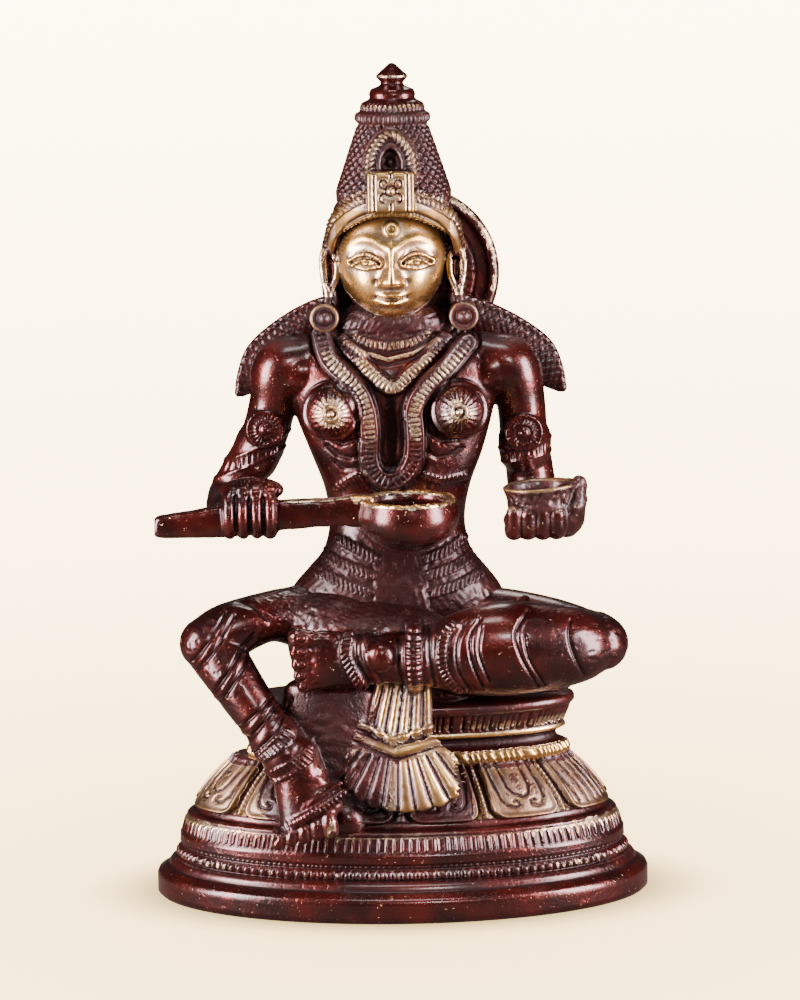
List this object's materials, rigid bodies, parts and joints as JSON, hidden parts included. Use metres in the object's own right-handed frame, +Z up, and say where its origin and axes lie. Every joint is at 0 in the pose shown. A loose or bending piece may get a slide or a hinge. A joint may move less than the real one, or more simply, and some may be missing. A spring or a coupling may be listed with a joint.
{
  "type": "cast brass seated goddess figure",
  "caption": "Small cast brass figure of a crowned goddess seated on a waisted seat over an oval lotus plinth, one leg folded and one hanging, with a ladle and a small food pot.",
  "frame": {"origin": "centre of the oval plinth's flat underside", "axes": "+Z up, the figure faces -Y, her right hand with the ladle is on the -X side"},
  "size_m": [0.0986, 0.054, 0.165],
  "materials": {
    "cast_brass": "dark red-brown antique lacquer, rubbed back to bright brass on the high places"
  },
  "bodies": {
    "root": {"goddess_on_lotus_plinth": "cast_brass"}
  },
  "joints": []
}
